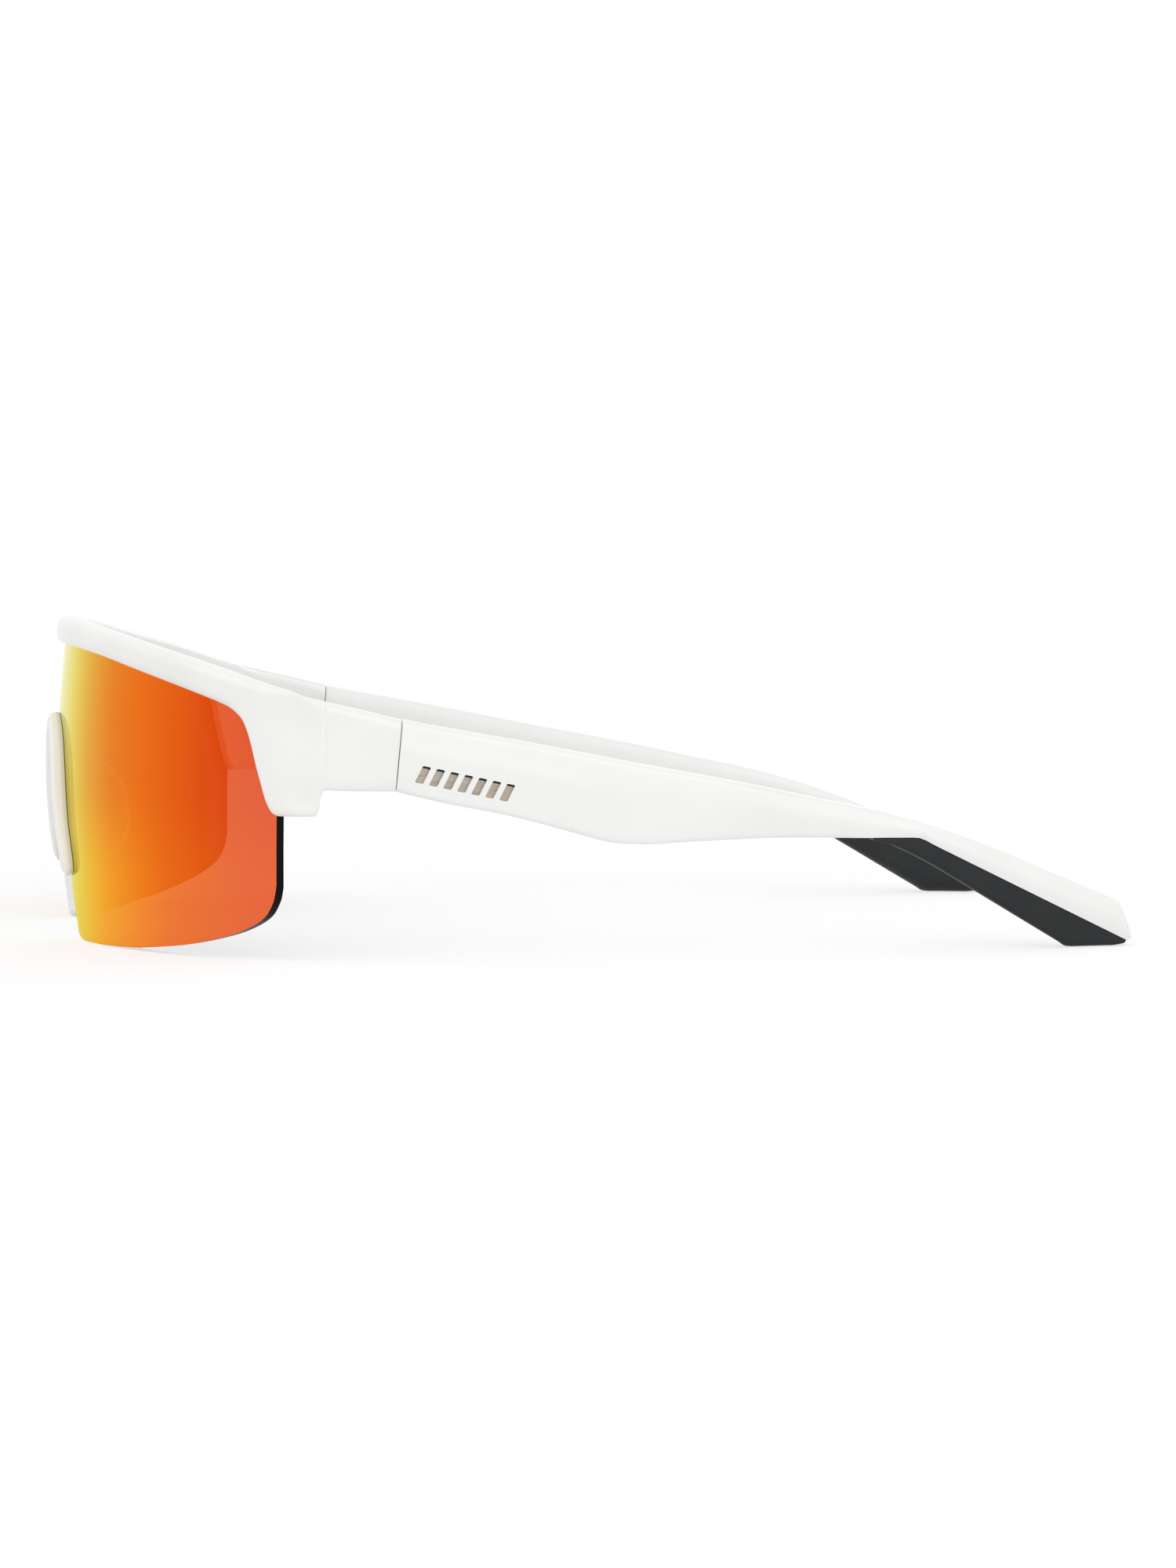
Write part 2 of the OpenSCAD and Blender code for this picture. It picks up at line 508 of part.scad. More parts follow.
// One leaf in the hinge's own frame: plate, neck and knuckles, bored for the screw
module leaf(way, knuckles, hole_r) {
  in_x = plate_x - hinge_x - leaf_t;
  difference() {
    union() {
      translate([in_x, way > 0 ? barrel_r + 0.3 : -leaf_l, -leaf_h / 2])
        cube([leaf_t - bond, leaf_l - barrel_r - 0.3, leaf_h]);
      for (k = knuckles) translate([0, 0, (k - 1.5) * knuckle_h + (k - 1) * knuckle_gap]) {
        cylinder(knuckle_h, r = barrel_r, $fn = 48);
        translate([0, way > 0 ? seam_gap / 2 : -barrel_r - 0.6, 0])
          cube([in_x + leaf_t - bond, barrel_r + 0.6 - seam_gap / 2, knuckle_h]);
      }
    }
    translate([0, 0, -barrel_h]) cylinder(2 * barrel_h, r = hole_r, $fn = 48);
    translate([0, 0, barrel_h / 2 - head_h]) cylinder(1, r = head_r + pin_play, $fn = 48);
    for (s = screw_at) translate([0, way * s, 0]) rotate([0, 90, 0]) {
      cylinder(5, r = screw_r + 0.02, $fn = 32);
      cylinder(in_x + 0.35, r = screw_head_r + bond, $fn = 32);
    }
  }
}

module front_leaf() {
  color(steel) at_hinge() leaf(-1, [0, 2], pin_r + pin_play);
}

module temple_leaf() {
  color(steel) at_hinge() leaf(1, [1], pin_r + pin_play);
}

// Hinge screw: shank through the barrel, and a low slotted head sunk into the top knuckle
head_r = barrel_r - 0.45;
head_h = 0.45;
module hinge_screw() {
  color(steel) at_hinge() difference() {
    union() {
      translate([0, 0, -barrel_h / 2]) cylinder(barrel_h - 0.1, r = pin_r, $fn = 48);
      translate([0, 0, barrel_h / 2 - head_h + bond]) cylinder(head_h + 0.1, r = head_r, $fn = 48);
    }
    translate([-2, -0.15, barrel_h / 2 - 0.15]) cube([4, 0.3, 1]);
  }
}

// The two countersunk screws of a leaf
screw_depth = 1.6;
screw_head_r = 0.85;
module leaf_screws(way) {
  in_x = plate_x - hinge_x - leaf_t;
  color(steel) at_hinge() for (s = screw_at) translate([0, way * s, 0]) rotate([0, 90, 0]) difference() {
    union() {
      translate([0, 0, in_x]) cylinder(leaf_t + screw_depth, r = screw_r, $fn = 32);
      translate([0, 0, in_x + 0.02]) cylinder(0.33, r = screw_head_r, $fn = 32);
    }
    translate([-0.1, -1, in_x - 0.1]) cube([0.2, 2, 0.25]);
  }
}

// ---- Assembly --------------------------------------------------------------------------------

module right() mirror([1, 0, 0]) children();

front_frame();
shield_lens();
nose_bridge();
nose_pad();  // left_nose_pad
right() nose_pad();  // right_nose_pad
front_leaf();  // left_front_leaf
right() front_leaf();  // right_front_leaf
leaf_screws(-1);  // left_front_leaf_screws
right() leaf_screws(-1);  // right_front_leaf_screws
hinge_screw();  // left_hinge_screw
right() hinge_screw();  // right_hinge_screw
temple();  // left_temple
right() temple();  // right_temple
temple_inlay();  // left_temple_inlay
right() temple_inlay();  // right_temple_inlay
temple_grip();  // left_temple_grip
right() temple_grip();  // right_temple_grip
temple_leaf();  // left_temple_leaf
right() temple_leaf();  // right_temple_leaf
leaf_screws(1);  // left_temple_leaf_screws
right() leaf_screws(1);  // right_temple_leaf_screws
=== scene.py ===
"""Looks of a pair of wraparound sport sunglasses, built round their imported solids.

The frame gives the solids, the hinge axes and the record. Smooth mouldings (brow, arms, grips,
nose piece and pads) are lofted here at a fine step, close to the outlines of the solids that they
stand for. The lens and the metal parts are the solids themselves with their finishes.
"""
import json
import math

import bmesh
import bpy
from mathutils import Matrix, Vector


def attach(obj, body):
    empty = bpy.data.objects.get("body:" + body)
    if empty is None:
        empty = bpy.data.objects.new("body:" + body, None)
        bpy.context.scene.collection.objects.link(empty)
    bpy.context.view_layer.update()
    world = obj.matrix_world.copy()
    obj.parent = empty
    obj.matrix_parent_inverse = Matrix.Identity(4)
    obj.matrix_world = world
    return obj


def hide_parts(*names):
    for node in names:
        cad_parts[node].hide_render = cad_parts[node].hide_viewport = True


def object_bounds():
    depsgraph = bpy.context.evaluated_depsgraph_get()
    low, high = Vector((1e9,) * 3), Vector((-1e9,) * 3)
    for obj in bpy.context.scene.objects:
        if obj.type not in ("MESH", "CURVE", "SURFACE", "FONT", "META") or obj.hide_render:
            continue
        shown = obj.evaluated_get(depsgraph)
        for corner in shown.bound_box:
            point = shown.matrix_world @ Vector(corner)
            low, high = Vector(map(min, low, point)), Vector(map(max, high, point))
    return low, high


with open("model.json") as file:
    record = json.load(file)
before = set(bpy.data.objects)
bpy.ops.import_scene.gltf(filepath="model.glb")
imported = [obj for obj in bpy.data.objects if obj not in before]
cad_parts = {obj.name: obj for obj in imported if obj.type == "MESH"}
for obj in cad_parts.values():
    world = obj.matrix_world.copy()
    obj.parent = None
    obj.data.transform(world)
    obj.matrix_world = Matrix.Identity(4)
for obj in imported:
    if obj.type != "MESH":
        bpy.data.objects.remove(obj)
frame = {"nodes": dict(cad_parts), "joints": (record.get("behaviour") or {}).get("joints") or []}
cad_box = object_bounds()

MM = 0.001
NODES = frame["nodes"]
HINGE = {j["child"]: j for j in frame["joints"]}["left_arm"]
MIDDLE = (cad_box[0] + cad_box[1]) / 2


# ---- Curves --------------------------------------------------------------------------------------

def mix(a, b, w):
    return a + (b - a) * w


def clamp(v, lo=0.0, hi=1.0):
    return max(lo, min(hi, v))


def ease(w):
    c = clamp(w)
    return c * c * (3 - 2 * c)


def curve(points, t):
    """Smooth value at place t through (place, value) points, never past a point's value."""
    steps = [(b[1] - a[1]) / (b[0] - a[0]) for a, b in zip(points, points[1:])]
    i = 0
    while i < len(steps) - 1 and t >= points[i + 1][0]:
        i += 1

    def slope(k):
        if k == 0 or k == len(points) - 1:
            return steps[min(k, len(steps) - 1)]
        before, after = steps[k - 1], steps[k]
        return 0.0 if before * after <= 0 else 2 / (1 / before + 1 / after)

    h = points[i + 1][0] - points[i][0]
    u = clamp((t - points[i][0]) / h)
    a, b, v, w = slope(i) * h, slope(i + 1) * h, points[i][1], points[i + 1][1]
    return v + a * u + (3 * (w - v) - 2 * a - b) * u ** 2 + (2 * (v - w) + a + b) * u ** 3


def path(points, n):
    """Smooth path through points in a plane, n steps between each two of them."""
    p = [Vector(q) for q in points]
    m = len(p) - 1
    out = []
    for i in range(m):
        a, b, c, d = p[max(i - 1, 0)], p[i], p[i + 1], p[min(i + 2, m)]
        for u in (k / n for k in range(n)):
            out.append(0.5 * (2 * b + (c - a) * u + (2 * a - 5 * b + 4 * c - d) * u ** 2
                              + (3 * b - a - 3 * c + d) * u ** 3))
    return out + [p[m]]


def corner(p, c, q, n):
    """Quarter turn of a rounded corner: from p toward q, bulging to the corner c."""
    p, c, q = Vector(p), Vector(c), Vector(q)
    turn = [math.pi / 2 * i / n for i in range(n + 1)]
    return [c + (p - c) * (1 - math.sin(u)) + (q - c) * (1 - math.cos(u)) for u in turn]


def spread(a, b, step):
    """Even places from a to b, no further apart than step."""
    n = max(1, math.ceil((b - a) / step))
    return [mix(a, b, k / n) for k in range(n + 1)]


# ---- Meshes --------------------------------------------------------------------------------------

def new_object(name, mesh):
    piece = bpy.data.objects.new(name, mesh)
    bpy.context.scene.collection.objects.link(piece)
    return piece


def shade(mesh, sharp=38):
    mesh.polygons.foreach_set("use_smooth", [True] * len(mesh.polygons))
    mesh.set_sharp_from_angle(angle=math.radians(sharp))


def loft(name, rings):
    """Closed skin over rings of millimetre points, each with as many points, with flat ends."""
    n, m = len(rings), len(rings[0])
    verts = [Vector(p) * MM for ring in rings for p in ring]
    faces = [(k * m + i, k * m + (i + 1) % m, (k + 1) * m + (i + 1) % m, (k + 1) * m + i)
             for k in range(n - 1) for i in range(m)]
    for k, order in ((0, -1), (n - 1, 1)):
        centre = sum((Vector(p) for p in rings[k]), Vector()) / m * MM
        verts.append(centre)
        for i in range(m):
            tri = (len(verts) - 1, k * m + i, k * m + (i + 1) % m)
            faces.append(tri[::order])
    mesh = bpy.data.meshes.new(name)
    mesh.from_pydata([tuple(v) for v in verts], [], faces)
    bm = bmesh.new()
    bm.from_mesh(mesh)
    bmesh.ops.recalc_face_normals(bm, faces=bm.faces)
    bm.to_mesh(mesh)
    bm.free()
    return new_object(name, mesh)


def mirrored(piece, name):
    """The same piece for the other side of the face."""
    mesh = piece.data.copy()
    mesh.transform(Matrix.Scale(-1, 4, (1, 0, 0)))
    mesh.flip_normals()
    mesh.name = name
    return new_object(name, mesh)


def cut(piece, tools):
    """Cuts the tools out of a piece and applies the cut."""
    for tool in tools:
        boolean = piece.modifiers.new("cut", "BOOLEAN")
        boolean.operation = "DIFFERENCE"
        boolean.solver = "EXACT"
        boolean.object = tool
    view = bpy.context.evaluated_depsgraph_get()
    done = bpy.data.meshes.new_from_object(piece.evaluated_get(view))
    piece.modifiers.clear()
    piece.data = done
    for tool in tools:
        bpy.data.objects.remove(tool)


# ---- Front: sizes and outlines, in millimetres ---------------------------------------------------

WRAP_R = 80                     # lens's front face, seen from above
FACE_R = 320                    # and from the side
FACE_H = 13                     # height where it stands furthest forward
FRONT_Y = -2                    # axis of the wrap
LENS_ANGLE = 52.2
LENS_T = 2
LENS_PLAY = 0.12
BROW_H = round(cad_box[1].z / MM, 1)
BROW_PROUD = 1.5                # out from the lens's front face
BROW_WALL = 1.5                 # behind the lens
BROW_COVER = 1.9                # down to the lens's hidden edge
BROW_ROUND = 1.5                # upper front edge
BROW_STEP = 0.35                # how much lower the back of the brow is than its front
LENS_CORNER = 8                 # hidden upper corners of the lens
TURN_R = 9.8                    # from the wrap to the straight end
END_L = 11.5
SEAM_DROP = 14.05               # from the brow's middle to the top of the seam
SEAM_DEPTH = 10.9
LUG_DROP = 3.7
ARM_T = 4
TIP_T = 3.6
GRIP_T = 1.6
SEAM_GAP = 0.12                 # drawn a little closer than it is made

WRAP = LENS_ANGLE + 0.5         # places are degrees round the face up to here, and mm past it
TURN_L = math.radians(90 - WRAP) * TURN_R
SEAM = WRAP + TURN_L + END_L
SEAM_TOP = BROW_H - SEAM_DROP
SEAM_LOW = SEAM_TOP - SEAM_DEPTH
SEAM_MID = (SEAM_TOP + SEAM_LOW) / 2
LUG_LOW = SEAM_LOW - LUG_DROP
LUG_BACK = WRAP + TURN_L - 0.5  # back face of the lug
GROOVE_END = LENS_ANGLE + 0.15  # past the lens's side
LEAN = HINGE["axis"][1] / HINGE["axis"][2]    # how far the seam leans back for each mm up

# Each pair is a place and, in turn, the drop of the brow's top line, the depth of its band, the
# share of the fall from the band to the lug (places from the lens's side), and the share of the
# rise from the lug to the end piece's lower edge.
BROW_DROP = [(0, 0), (9, 0.35), (15, 0.85), (22, 1.75), (27.4, 2.7), (35.7, 4.5), (42.6, 6.35),
             (48.7, 8.35), (WRAP, 9.6), (WRAP + 2.8, 10.3), (WRAP + 5.7, 11), (WRAP + 9, 11.8),
             (SEAM, SEAM_DROP)]
BROW_BAND = [(0, 4.1), (11, 3.9), (20, 3.85), (31, 4.2), (40, 4.65), (45, 4.95), (WRAP, 5.4)]
FALL = [(-8.5, 0), (-7, 0.004), (-6, 0.017), (-5, 0.05), (-4.2, 0.105), (-3.5, 0.205), (-3, 0.31),
        (-2.2, 0.53), (-1.5, 0.71), (-0.9, 0.87), (-0.1, 0.98), (0.5, 1)]
LUG_END = [(LUG_BACK - 0.8, 0), (LUG_BACK - 0.35, 0.06), (LUG_BACK, 0.3), (LUG_BACK + 0.1, 0.6),
           (LUG_BACK + 0.35, 0.86), (LUG_BACK + 0.9, 1.07), (LUG_BACK + 3, 1.04), (SEAM, 1)]


def face_r(z):
    """Radius of the lens's front face at height z, seen from above."""
    return WRAP_R - FACE_R + math.sqrt(FACE_R ** 2 - (z - FACE_H) ** 2)


def at(a, o, z):
    """Point at place a, offset o out from the lens's front face, at height z."""
    if a < 0:
        p = at(-a, o, z)
        return Vector((-p.x, p.y, p.z))
    b, t, e = min(a, WRAP), clamp(a - WRAP, 0, TURN_L), max(a - WRAP - TURN_L, 0)
    g = math.radians(b) + t / TURN_R
    b = math.radians(b)
    r = mix(face_r(z), face_r(SEAM_MID), ease(t / TURN_L)) - TURN_R
    x = r * math.sin(b) + (TURN_R + o) * math.sin(g)
    y = -r * math.cos(b) - (TURN_R + o) * math.cos(g)
    return Vector((x, FRONT_Y + y + e, z))


def brow_top(a):
    return BROW_H - curve(BROW_DROP, a)


def front_low(a):
    """Lower edge of the front: the band, its fall to the lug, the lug and the straight end."""
    if a < WRAP:
        return mix(brow_top(a) - curve(BROW_BAND, a), LUG_LOW, curve(FALL, a - LENS_ANGLE))
    return mix(LUG_LOW, SEAM_LOW, curve(LUG_END, max(a, LUG_END[0][0])))


def bell(v, width):
    """Smooth bump: 1 at v = 0, and nearly 0 past twice the width."""
    return math.exp(-(v / width) ** 2)


def sculpt(a, share):
    """How the outer face of the end piece is modelled: a facet that opens toward the hinge, a
    crease where the straight end begins, and a thumb mark above the back of the lug."""
    t = (a - WRAP) * 1.4 if a < WRAP else a - WRAP
    facet = -1.1 * bell(t - 0.35 * TURN_L, 4.2) * ease((share - 0.3) / 0.55)
    crease = 0.4 * ease((t - TURN_L + 4.5) / 4.5) * (1 - ease((t - TURN_L) / 0.9)) * ease(share * 3)
    mark = -0.5 * bell(t - TURN_L + 2.4, 1.7) * bell(share - 0.14, 0.1)
    return facet + crease + mark


def lens_top(a):
    """Hidden upper edge of the lens: a fixed cover below the brow's top, rounded into its side."""
    side_x, x = (WRAP_R * math.sin(math.radians(b)) for b in (LENS_ANGLE, min(a, LENS_ANGLE)))
    d = max(x - (side_x - LENS_CORNER), 0)
    return brow_top(a) - BROW_COVER - (LENS_CORNER - math.sqrt(max(LENS_CORNER ** 2 - d * d, 0)))


def front_ring(a, inset=0.0):
    """Cross-section of the front at place a: a bar with a groove for the lens in its underside.
    Where the lens ends, the groove closes into a flat underside."""
    b, side = abs(a), -1 if a < 0 else 1
    grooved = b < GROOVE_END
    top, low = brow_top(b) - inset, front_low(b) + inset
    wall_low = max(low, min(lens_top(b) - 2, low + 0.3)) if grooved else low
    groove = max(lens_top(max(b - 0.4, 0)) + LENS_PLAY, low + 0.3) if grooved else low
    pinch = 0 if grooved else 0.4
    out = BROW_PROUD - inset
    lip = mix(0.45, BROW_PROUD - 0.9, ease((b - LENS_ANGLE + 8) / 7))
    back = mix(-LENS_T - BROW_WALL, BROW_PROUD - ARM_T, ease((b - WRAP) / TURN_L)) + inset
    groove_back = -LENS_T - LENS_PLAY if grooved else back + 0.6
    low_r = min(1.7, (top - low) * 0.42)
    back_top = top - BROW_STEP
    lean = LEAN * ease((b - WRAP - TURN_L) / (END_L - 1))
    face = [(out, mix(top - BROW_ROUND, low + low_r, k / 9)) for k in range(1, 9)]
    section = ([(LENS_PLAY, low), (LENS_PLAY - pinch, groove), (groove_back + pinch, groove),
                (groove_back, wall_low)]
               + corner((back + 0.5, wall_low), (back, wall_low), (back, wall_low + 0.5), 4)
               + corner((back, top - 1.3), (back, back_top), (back + 1, back_top), 6)
               + corner((out - BROW_ROUND, top), (out, top), (out, top - BROW_ROUND), 8)
               + face
               + corner((out, low + low_r), (out, low), (lip, low), 8))
    ring = []
    for o, z in section:
        shape = sculpt(b, (z - low) / (top - low)) if o > 0.3 else 0
        p = at(b, o + shape * clamp((o - 0.3) / 1.2), z)
        ring.append((side * p.x, p.y + lean * (z - SEAM_MID), z))
    return ring


def front_frame():
    half = (spread(0, LENS_ANGLE - 9, 1.5)[1:] + spread(LENS_ANGLE - 9, LENS_ANGLE + 0.1, 0.35)[1:]
            + [LENS_ANGLE + 0.28] + spread(WRAP, LUG_BACK - 0.8, 0.5)
            + spread(LUG_BACK - 0.8, LUG_BACK + 1.2, 0.1)[1:]
            + spread(LUG_BACK + 1.2, SEAM - 0.6, 0.8)[1:])
    ends = [(SEAM, 0.12), (SEAM - 0.04, 0.04), (SEAM - 0.12, 0)]    # rounded edge at the seam
    rings = [front_ring(a, inset) for a, inset in ends] + [front_ring(a) for a in half[::-1]]
    rings += [front_ring(0)] + [front_ring(-a) for a in half]
    rings += [front_ring(-a, inset) for a, inset in ends[::-1]]
    return loft("front_frame_moulding", rings)


# ---- Arms and grips ------------------------------------------------------------------------------
# A place along an arm is the share of its length from the seam. The outlines give heights at
# such places, and ARM_K fits them to the seam.

ARM_X = at(SEAM, BROW_PROUD, 0).x
SEAM_Y = at(SEAM, 0, 0).y
ARM_L = 116.9
TIP_WIDTH = 108
ARM_STEP = 0.009                # between two rings
TIP_FROM = 0.964                # where the rings of the tip come closer
TIP_END = 0.9976                # last ring of the white tip
TIP_LIFT = 0.9                  # rise of the lower edge past the grip, which rounds the tip
ARM_TOP = [(0, 36.75), (0.175, 33), (0.312, 29.8), (0.4, 27.85), (0.486, 25.85), (0.556, 24.05),
           (0.647, 21.8), (0.734, 18.85), (0.821, 15.05), (0.909, 10.7), (0.952, 8.6), (0.972, 7.6),
           (0.98, 7), (0.9865, 5.7), (0.995, 2.9), (0.9965, 2.2), (0.9975, 1.5), (1, 1.3)]
ARM_LOW = [(0, 25.85), (0.056, 24.1), (0.139, 22.1), (0.222, 19.5), (0.264, 18.1), (0.29, 17.5),
           (0.33, 17.3), (0.39, 17.6), (0.5, 17.95), (0.6, 17.75), (0.694, 17.6), (0.722, 16.2),
           (1, 0.3)]
GRIP_LOW = [(0.634, 17.3), (0.657, 16.7), (0.68, 15.5), (0.712, 13.6), (0.776, 9.2), (0.895, 0.85),
            (0.906, 0.1), (0.916, 0), (0.968, 0), (0.985, 0.25), (1, 1)]
GRIP_FROM, GRIP_TO = 0.634, 0.991
GRIP_PROUD = 0.25               # past the arm's inner face
LIP_STEP = 0.12                 # slope of the step above the grip's leaf
ARM_K = SEAM_TOP / ARM_TOP[0][1]
BOND = 0.04


def arm_y(t):
    return SEAM_Y + SEAM_GAP + t * (ARM_L - SEAM_GAP)


def arm_out(t):
    """How far from the middle an arm's outer face stands."""
    return ARM_X - (ARM_X - TIP_WIDTH / 2) * t ** 1.5


def arm_thick(t):
    return mix(ARM_T, TIP_T, ease(t / 0.5))


def arm_hi(t):
    return ARM_K * curve(ARM_TOP, t)


def arm_lo(t):
    """Lower edge of an arm: straight along the tip, and lifted at its very end."""
    (t0, z0), (t1, z1) = ARM_LOW[-2:]
    straight = mix(z0, z1, (t - t0) / (t1 - t0)) + TIP_LIFT * ease((t - GRIP_TO) / (1 - GRIP_TO))
    return ARM_K * (straight if t > t0 else curve(ARM_LOW, t))


def grip_lo(t):
    return min(ARM_K * curve(GRIP_LOW, t), arm_lo(t) - 0.3)


def arm_at(t, u, z):
    """Point on an arm: u in from its outer face at height z."""
    return (arm_out(t) - u, arm_y(t) + LEAN * (z - SEAM_MID) * (1 - ease(t / 0.06)), z)


def lip(t, h):
    """White left above the grip on the inner side, where the arm is h high."""
    return min(mix(4.2, 0.9, ease((t - GRIP_FROM - 0.02) / 0.2)), h * 0.88)


def arm_ring(t, inset=0.0):
    """Cross-section of an arm at place t: a bulging outer face with a faint ridge near the hinge,
    and inside it, along the grip, the step that the grip's leaf lies in."""
    gripped = GRIP_FROM - 0.0001 < t < GRIP_TO + 0.0001
    thick = arm_thick(t) - inset
    inner = thick - (GRIP_T if gripped else 0)
    top, low = arm_hi(t) - inset, arm_lo(t) + inset
    h = top - low
    top_r = min(1.2, h * 0.3)
    low_r = min(mix(0.9, 0.15, ease((t - GRIP_FROM + 0.05) / 0.05)), h * 0.2)
    step = top - lip(t, h)
    face = []
    for k in range(1, 12):
        s = k / 12
        ridge = 0.1 * bell(s - 0.62, 0.1) * (1 - ease((t - 0.2) / 0.15))
        face.append((inset - 0.25 * math.sin(math.pi * s) - ridge, mix(low + low_r, top - top_r, s)))
    section = (corner((inset + low_r, low), (inset, low), (inset, low + low_r), 5)
               + face
               + corner((inset, top - top_r), (inset, top), (inset + top_r, top), 7)
               + corner((thick - 0.7, top), (thick, top), (thick, mix(top, step, 0.7)), 5)
               + [(thick, step), (inner, step - LIP_STEP)]
               + corner((inner, low + low_r), (inner, low), (inner - low_r, low), 5))
    return [arm_at(t, u, z) for u, z in section]


def temple():
    stops = ([0.001] + spread(0.003, GRIP_FROM - 0.001, ARM_STEP) + [GRIP_FROM]
             + spread(GRIP_FROM + 0.002, TIP_FROM, ARM_STEP)
             + spread(TIP_FROM, GRIP_TO - 0.001, ARM_STEP / 3)[1:]
             + [GRIP_TO, GRIP_TO + 0.001] + spread(0.993, 0.997, 0.0007))
    seam = [arm_ring(0, 0.12), arm_ring(0.0003, 0.04)]    # rounded edge at the seam
    return loft("left_temple_moulding", seam + [arm_ring(t) for t in stops] + [arm_ring(TIP_END, 0.03)])


def grip_ring(t, inset=0.0):
    """Cross-section of a grip at place t: a strip under the arm, and a leaf up its inner side."""
    thick, bonded = arm_thick(t) + GRIP_PROUD - inset, arm_thick(t) - GRIP_T + BOND
    seat_z, low, arm_top = arm_lo(t) - BOND, grip_lo(t) + inset, arm_hi(t)
    leaf_top = arm_top - lip(t, arm_top - arm_lo(t)) - LIP_STEP - BOND - inset
    outer = 0.1 + inset
    outer_r = min(0.9, (seat_z - low) * 0.4)
    inner_r = min(1.3 + 1.6 * bell(t - 0.9, 0.06), (leaf_top - low) * 0.36)
    inner_u = thick - min(inner_r, thick - 1.4)
    section = ([(bonded, seat_z), (outer + 0.15, seat_z), (outer, seat_z - 0.15)]
               + corner((outer, low + outer_r), (outer, low), (outer + outer_r, low), 6)
               + corner((inner_u, low), (thick, low), (thick, low + inner_r), 7)
               + corner((thick, leaf_top - 0.5), (thick, leaf_top), (thick - 0.5, leaf_top), 5)
               + [(bonded, leaf_top)])
    return [arm_at(t, u, z) for u, z in section]


def temple_grip():
    fine = 0.89                 # the lower edge turns past here
    stops = spread(GRIP_FROM + 0.002, fine, ARM_STEP) + spread(fine, GRIP_TO - 0.003, 0.002)[1:]
    rings = [grip_ring(GRIP_FROM + 0.0005, 0.15)] + [grip_ring(t) for t in stops]
    return loft("left_temple_grip_moulding", rings + [grip_ring(GRIP_TO - 0.0005, 0.15)])


# ---- Nose piece ----------------------------------------------------------------------------------

# Edge of the lens round the nose, from the top of its arch down to the lower corner: (x, z)
NOSE_EDGE = [(0, 33.6), (4.4, 32.8), (7.9, 30.2), (10.1, 26.6), (11.8, 22.4), (14, 17.2),
             (16.2, 13.2), (17.4, 10.2), (17.7, 8.2), (18.5, 5.8), (19.9, 2.9)]
NOSE_FINE = 12                  # steps between two points of the nose edge
NOSE_N = 7 * NOSE_FINE + 1
NOSE_RUN = path(NOSE_EDGE, NOSE_FINE)[:NOSE_N]
# How proud the rim stands, from the top of the arch to the foot of a leg
RIM_SHARE = [(0, 0.72), (0.3, 0.95), (0.5, 0.97), (0.7, 0.86), (0.85, 0.79), (0.94, 0.72), (1, 0.64)]
RIM_PROUD = 2.2
RIM_REACH = 1.6                 # over the lens from its edge
RIM_PLAY = 0.04                 # drawn a little closer to the lens than it is made
CHANNEL_BACK = 1.05             # wall behind the lens
PAD_DEPTH = 6.6


def nose_at(k, n, h):
    """Point at step k of the nose edge: n over the lens from its edge, h out from its face."""
    i, side = abs(k), -1 if k < 0 else 1
    p, q = NOSE_RUN[i], NOSE_RUN[min(i + 1, NOSE_N - 1)]
    o = Vector((-q.x, q.y)) if i == 0 else NOSE_RUN[i - 1]
    t = (q - o).normalized()
    r, rise = face_r(p.y), p.y - FACE_H
    y = -math.sqrt(r * r - p.x * p.x)
    out = Vector((p.x / r, y / r, rise / math.sqrt(FACE_R ** 2 - rise ** 2))).normalized()
    u = Vector((-t.y, 0, t.x))
    u = (u - u.dot(out) * out).normalized()
    point = Vector((p.x, FRONT_Y + y, p.y)) + n * u + h * out
    return (side * point.x, point.y, point.z)


def rounded(points, n):
    """Closed outline of (x, y, radius) points with its corners rounded, n steps a corner."""
    out = []
    for i, (x, y, r) in enumerate(points):
        p = Vector((x, y))
        before, after = (Vector(points[k % len(points)][:2]) for k in (i - 1, i + 1))
        if r <= 0:
            out.append(p)
            continue
        a = p + (before - p).normalized() * min(r, (before - p).length * 0.49)
        b = p + (after - p).normalized() * min(r, (after - p).length * 0.49)
        out += corner(a, p, b, n)
    return out


def bridge_ring(k):
    """Cross-section of the nose piece at step k: a channel round the lens's edge with a tall rim,
    which rounds off at the foot of each leg."""
    foot = clamp((NOSE_N - 1 - abs(k)) / (0.75 * NOSE_FINE))
    full = math.sqrt(1 - (1 - foot) ** 2)
    top = RIM_PROUD * curve(RIM_SHARE, abs(k) / (NOSE_N - 1)) * mix(0.6, 1, full)
    reach, edge = RIM_REACH * mix(0.55, 1, full), -1.4
    behind = -LENS_T - LENS_PLAY
    back = behind - CHANNEL_BACK
    section = [(reach, RIM_PLAY, 0.08), (reach, 0.75, 0.2), (reach - 0.12, 0.8, 0.1),
               (reach - 0.25, top, 0.7), (edge, top - 0.15, 0.8), (edge, back, 0.45),
               (reach, back, 0.4), (reach, behind, 0.08), (-RIM_PLAY, behind, 0),
               (-RIM_PLAY, RIM_PLAY, 0)]
    return [nose_at(k, p.x, p.y) for p in rounded(section, 4)]


def nose_bridge():
    return loft("nose_bridge_moulding", [bridge_ring(k) for k in range(NOSE_N - 1, -NOSE_N, -1)])


PAD_FROM, PAD_TO = 3 * NOSE_FINE, NOSE_N - 3 * NOSE_FINE // 4


